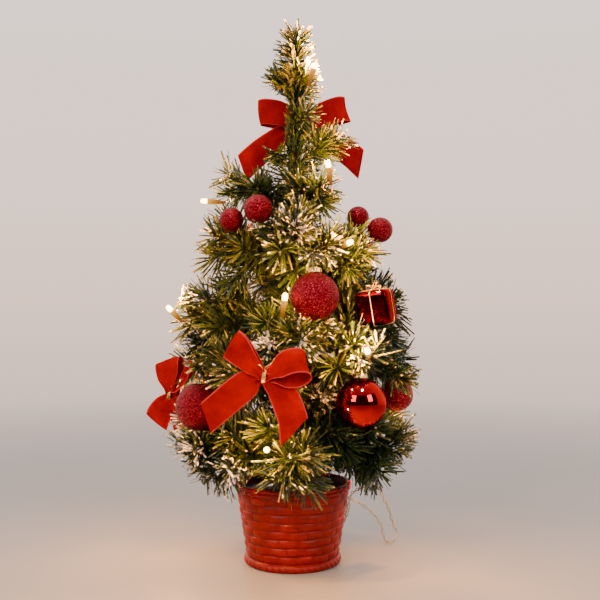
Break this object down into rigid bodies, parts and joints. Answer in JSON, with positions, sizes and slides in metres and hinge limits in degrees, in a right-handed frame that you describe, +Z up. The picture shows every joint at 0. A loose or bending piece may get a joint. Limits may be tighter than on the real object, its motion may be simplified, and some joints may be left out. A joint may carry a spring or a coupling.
{
  "type": "artificial tabletop tree",
  "caption": "Potted artificial tabletop tree with bendable needle branches, ribbon bows, hung ornaments and a battery light string.",
  "frame": {"origin": "middle of the pot's underside, on the surface it stands on", "axes": "+Z up along the stem, -Y towards the decorated front, +X to the right seen from the front"},
  "size_m": [0.2312, 0.2173, 0.45],
  "materials": {
    "pot-red": "satin moulded plastic",
    "filler": "dull, dark",
    "stem-wire": "green coated twisted wire",
    "needles": "matt needle brush, white flock at the tips",
    "glitter-red": "coarse glitter",
    "gloss-red": "mirror metallised",
    "cap-gold": "bright",
    "foil-red": "metallised foil",
    "velvet-red": "velvet",
    "wire": "clear coat over copper",
    "lamp": "clear, lit warm white",
    "box-dark": "fine grain",
    "switch-black": "matt",
    "battery-wrap": "printed sleeve, plain"
  },
  "bodies": {
    "tree": {"pot": "pot-red", "pot-fill": "filler", "trunk": "stem-wire", "leader": "needles", "light-string": "wire", "lead-a": "wire", "lead-b": "wire", "battery-box": "box-dark", "battery-1": "battery-wrap", "battery-2": "battery-wrap", "led-1": "lamp", "bow-top": "velvet-red"},
    "branch-01": {"branch-01": "needles", "led-8": "lamp"},
    "branch-02": {"branch-02": "needles"},
    "branch-03": {"branch-03": "needles"},
    "branch-04": {"branch-04": "needles"},
    "branch-05": {"branch-05": "needles"},
    "branch-06": {"branch-06": "needles", "ball-left": "glitter-red", "cap-left": "cap-gold"},
    "branch-07": {"branch-07": "needles", "bow-front": "velvet-red"},
    "branch-08": {"branch-08": "needles", "led-7": "lamp"},
    "branch-09": {"branch-09": "needles", "ball-right": "glitter-red"},
    "branch-10": {"branch-10": "needles"},
    "branch-11": {"branch-11": "needles", "bow-left": "velvet-red"},
    "branch-12": {"branch-12": "needles", "ball-front": "glitter-red", "cap-front": "cap-gold", "led-5": "lamp"},
    "branch-13": {"branch-13": "needles"},
    "branch-14": {"branch-14": "needles"},
    "branch-15": {"branch-15": "needles", "led-6": "lamp"},
    "branch-16": {"branch-16": "needles"},
    "branch-17": {"branch-17": "needles", "berry-3": "glitter-red", "berry-4": "glitter-red", "led-4": "lamp"},
    "branch-18": {"branch-18": "needles"},
    "branch-19": {"branch-19": "needles"},
    "branch-20": {"branch-20": "needles", "berry-1": "glitter-red", "berry-2": "glitter-red"},
    "branch-21": {"branch-21": "needles", "led-2": "lamp"},
    "branch-22": {"branch-22": "needles"},
    "branch-23": {"branch-23": "needles", "led-3": "lamp"},
    "branch-24": {"branch-24": "needles"},
    "branch-25": {"branch-25": "needles"},
    "hanging-ball": {"ball-gloss": "gloss-red", "cap-gloss": "cap-gold"},
    "hanging-gift": {"gift-box": "foil-red"},
    "battery-cover": {"battery-cover": "box-dark"},
    "battery-switch": {"battery-switch": "switch-black"}
  },
  "joints": [
    {"name": "branch-01-bend", "type": "hinge", "parent": "tree", "child": "branch-01", "pos_m": [-0.00021, -0.006, 0.098], "axis": [-0.9994, 0.0349, 0], "range_deg": [-6, 15]},
    {"name": "branch-02-bend", "type": "hinge", "parent": "tree", "child": "branch-02", "pos_m": [0.00509, -0.00318, 0.098], "axis": [-0.5299, -0.848, 0], "range_deg": [-6, 15]},
    {"name": "branch-03-bend", "type": "hinge", "parent": "tree", "child": "branch-03", "pos_m": [0.0053, 0.00282, 0.098], "axis": [0.4695, -0.8829, 0], "range_deg": [-6, 15]},
    {"name": "branch-04-bend", "type": "hinge", "parent": "tree", "child": "branch-04", "pos_m": [0.00021, 0.006, 0.098], "axis": [0.9994, -0.0349, 0], "range_deg": [-6, 15]},
    {"name": "branch-05-bend", "type": "hinge", "parent": "tree", "child": "branch-05", "pos_m": [-0.00509, 0.00318, 0.098], "axis": [0.5299, 0.848, 0], "range_deg": [-6, 15]},
    {"name": "branch-06-bend", "type": "hinge", "parent": "tree", "child": "branch-06", "pos_m": [-0.0053, -0.00282, 0.098], "axis": [-0.4695, 0.8829, 0], "range_deg": [-6, 15]},
    {"name": "branch-07-bend", "type": "hinge", "parent": "tree", "child": "branch-07", "pos_m": [-0.00282, -0.0053, 0.15], "axis": [-0.8829, 0.4695, 0], "range_deg": [-6, 15]},
    {"name": "branch-08-bend", "type": "hinge", "parent": "tree", "child": "branch-08", "pos_m": [0.00353, -0.00485, 0.15], "axis": [-0.809, -0.5878, 0], "range_deg": [-6, 9]},
    {"name": "branch-09-bend", "type": "hinge", "parent": "tree", "child": "branch-09", "pos_m": [0.00594, 0.00084, 0.15], "axis": [0.1392, -0.9903, 0], "range_deg": [-6, 15]},
    {"name": "branch-10-bend", "type": "hinge", "parent": "tree", "child": "branch-10", "pos_m": [0.00104, 0.00591, 0.15], "axis": [0.9848, -0.1736, 0], "range_deg": [-6, 15]},
    {"name": "branch-11-bend", "type": "hinge", "parent": "tree", "child": "branch-11", "pos_m": [-0.00587, 0.00125, 0.15], "axis": [0.2079, 0.9781, 0], "range_deg": [-6, 15]},
    {"name": "branch-12-bend", "type": "hinge", "parent": "tree", "child": "branch-12", "pos_m": [0.00052, -0.00598, 0.178], "axis": [-0.9962, -0.0872, 0], "range_deg": [-6, 15]},
    {"name": "branch-13-bend", "type": "hinge", "parent": "tree", "child": "branch-13", "pos_m": [0.006, -0.00021, 0.2], "axis": [-0.0349, -0.9994, 0], "range_deg": [-6, 15]},
    {"name": "branch-14-bend", "type": "hinge", "parent": "tree", "child": "branch-14", "pos_m": [-0.00042, 0.00598, 0.2], "axis": [0.9976, 0.0698, 0], "range_deg": [-6, 15]},
    {"name": "branch-15-bend", "type": "hinge", "parent": "tree", "child": "branch-15", "pos_m": [-0.00598, -0.00042, 0.2], "axis": [-0.0698, 0.9976, 0], "range_deg": [-6, 15]},
    {"name": "branch-16-bend", "type": "hinge", "parent": "tree", "child": "branch-16", "pos_m": [0.00021, -0.006, 0.245], "axis": [-0.9994, -0.0349, 0], "range_deg": [-6, 15]},
    {"name": "branch-17-bend", "type": "hinge", "parent": "tree", "child": "branch-17", "pos_m": [0.00509, -0.00318, 0.245], "axis": [-0.5299, -0.848, 0], "range_deg": [-3, 15]},
    {"name": "branch-18-bend", "type": "hinge", "parent": "tree", "child": "branch-18", "pos_m": [0.00492, 0.00344, 0.245], "axis": [0.5736, -0.8192, 0], "range_deg": [-6, 15]},
    {"name": "branch-19-bend", "type": "hinge", "parent": "tree", "child": "branch-19", "pos_m": [-0.00282, 0.0053, 0.245], "axis": [0.8829, 0.4695, 0], "range_deg": [-6, 15]},
    {"name": "branch-20-bend", "type": "hinge", "parent": "tree", "child": "branch-20", "pos_m": [-0.00564, -0.00205, 0.245], "axis": [-0.342, 0.9397, 0], "range_deg": [-6, 15]},
    {"name": "branch-21-bend", "type": "hinge", "parent": "tree", "child": "branch-21", "pos_m": [0.003, -0.0052, 0.292], "axis": [-0.866, -0.5, 0], "range_deg": [-6, 15]},
    {"name": "branch-22-bend", "type": "hinge", "parent": "tree", "child": "branch-22", "pos_m": [0.00104, 0.00591, 0.292], "axis": [0.9848, -0.1736, 0], "range_deg": [-6, 15]},
    {"name": "branch-23-bend", "type": "hinge", "parent": "tree", "child": "branch-23", "pos_m": [-0.00594, -0.00084, 0.292], "axis": [-0.1392, 0.9903, 0], "range_deg": [-6, 15]},
    {"name": "branch-24-bend", "type": "hinge", "parent": "tree", "child": "branch-24", "pos_m": [0.0058, -0.00155, 0.332], "axis": [-0.2588, -0.9659, 0], "range_deg": [-6, 15]},
    {"name": "branch-25-bend", "type": "hinge", "parent": "tree", "child": "branch-25", "pos_m": [-0.0052, -0.003, 0.332], "axis": [-0.5, 0.866, 0], "range_deg": [-6, 15]},
    {"name": "ball-swing", "type": "hinge", "parent": "branch-08", "child": "hanging-ball", "pos_m": [0.052, -0.0695, 0.1659], "axis": [0.5878, -0.809, 0], "range_deg": [-12, 12]},
    {"name": "gift-swing", "type": "hinge", "parent": "branch-17", "child": "hanging-gift", "pos_m": [0.0655, -0.047, 0.2315], "axis": [0.848, -0.5299, 0], "range_deg": [-10, 10]},
    {"name": "battery-cover-slide", "type": "slide", "parent": "tree", "child": "battery-cover", "axis": [-1, 0, 0], "range_m": [0, 0.03]},
    {"name": "battery-switch-slide", "type": "slide", "parent": "tree", "child": "battery-switch", "axis": [1, 0, 0], "range_m": [0, 0.004]}
  ]
}
